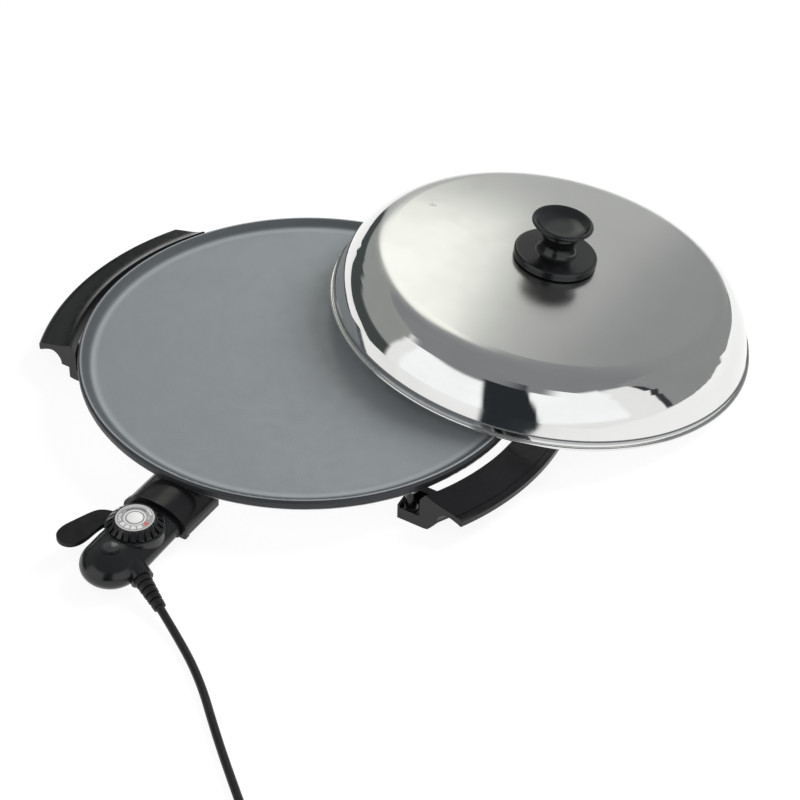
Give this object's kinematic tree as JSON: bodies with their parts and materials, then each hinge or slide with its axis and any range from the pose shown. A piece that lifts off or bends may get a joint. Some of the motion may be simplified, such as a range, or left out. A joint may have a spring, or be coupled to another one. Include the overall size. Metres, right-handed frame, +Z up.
{
  "type": "electric crepe maker",
  "caption": "Round electric cooking plate on moulded handles that double as feet, with a loose domed steel lid and a plug-in thermostat controller on a free cord.",
  "frame": {"origin": "middle of the cooking surface", "axes": "+Z up from the cooking surface, +X towards one handle, -Y towards the plug-in controller"},
  "size_m": [0.599, 0.9055, 0.1354],
  "materials": {
    "coated_plate": "dark grey non-stick coating over cast aluminium",
    "steel_bright": "bright stainless steel",
    "steel_plain": "plain steel",
    "handle_plastic": "satin black phenolic",
    "case_plastic": "black, soft gloss",
    "lever_plastic": "matt black",
    "dial_face_print": "silver grey with white marks",
    "cap_white": "white",
    "lens_dark": "smoked lens",
    "lamp_glass": "clear",
    "bead_white": "ceramic",
    "contact_brass": "plain",
    "cord_rubber": "satin black sheath",
    "tie_plastic": "satin"
  },
  "bodies": {
    "base": {"cooking_plate": "coated_plate", "heating_element": "steel_plain", "terminal_insulators": "bead_white", "terminal_pins": "contact_brass", "shroud_bracket": "steel_plain", "socket_shroud": "handle_plastic", "shroud_screws": "steel_plain", "earth_blade": "steel_plain", "handle_left": "handle_plastic", "handle_right": "handle_plastic", "handle_posts": "handle_plastic", "handle_washers": "steel_plain", "handle_screws": "steel_plain"},
    "lid": {"lid_dome": "steel_bright", "vent_eyelet": "steel_bright", "knob_guard": "case_plastic", "lid_knob": "case_plastic", "knob_washer": "steel_plain", "knob_screw": "steel_plain"},
    "controller": {"controller_top": "case_plastic", "controller_base": "case_plastic", "shell_screws": "steel_plain", "indicator_lens": "lens_dark", "neon_lamp": "lamp_glass", "probe_rod": "steel_bright", "terminal_block": "bead_white", "terminal_sockets": "contact_brass", "earth_clip": "contact_brass", "thermostat_frame": "steel_plain", "stack_spacers": "bead_white", "bimetal_blade": "steel_plain", "contact_blade": "contact_brass", "contact_points": "contact_brass", "lever_pin": "steel_plain", "lever_spring": "steel_plain", "cord_clamp": "steel_plain", "strain_relief": "cord_rubber", "cord": "cord_rubber", "cord_coil": "cord_rubber", "coil_tie": "tie_plastic", "cord_tail": "cord_rubber", "plug_body": "cord_rubber", "plug_pins": "contact_brass"},
    "dial": {"dial_knob": "case_plastic", "dial_face": "dial_face_print", "dial_cap": "cap_white", "dial_spindle": "steel_plain"},
    "lever": {"release_lever": "lever_plastic"}
  },
  "joints": [
    {"name": "lid_lift", "type": "slide", "parent": "base", "child": "lid", "axis": [0, 0, 1], "range_m": [0, 0.2]},
    {"name": "controller_unplug", "type": "slide", "parent": "base", "child": "controller", "axis": [0, -1, 0], "range_m": [0, 0.1]},
    {"name": "dial_turn", "type": "hinge", "parent": "controller", "child": "dial", "pos_m": [0, -0.2535, -0.005], "axis": [0, 0, 1], "range_deg": [-270, 0]},
    {"name": "lever_swing", "type": "hinge", "parent": "controller", "child": "lever", "pos_m": [-0.0175, -0.25, -0.0145], "axis": [0, 0, 1], "range_deg": [0, 6], "stiffness_Nm_per_rad": 0.02}
  ]
}
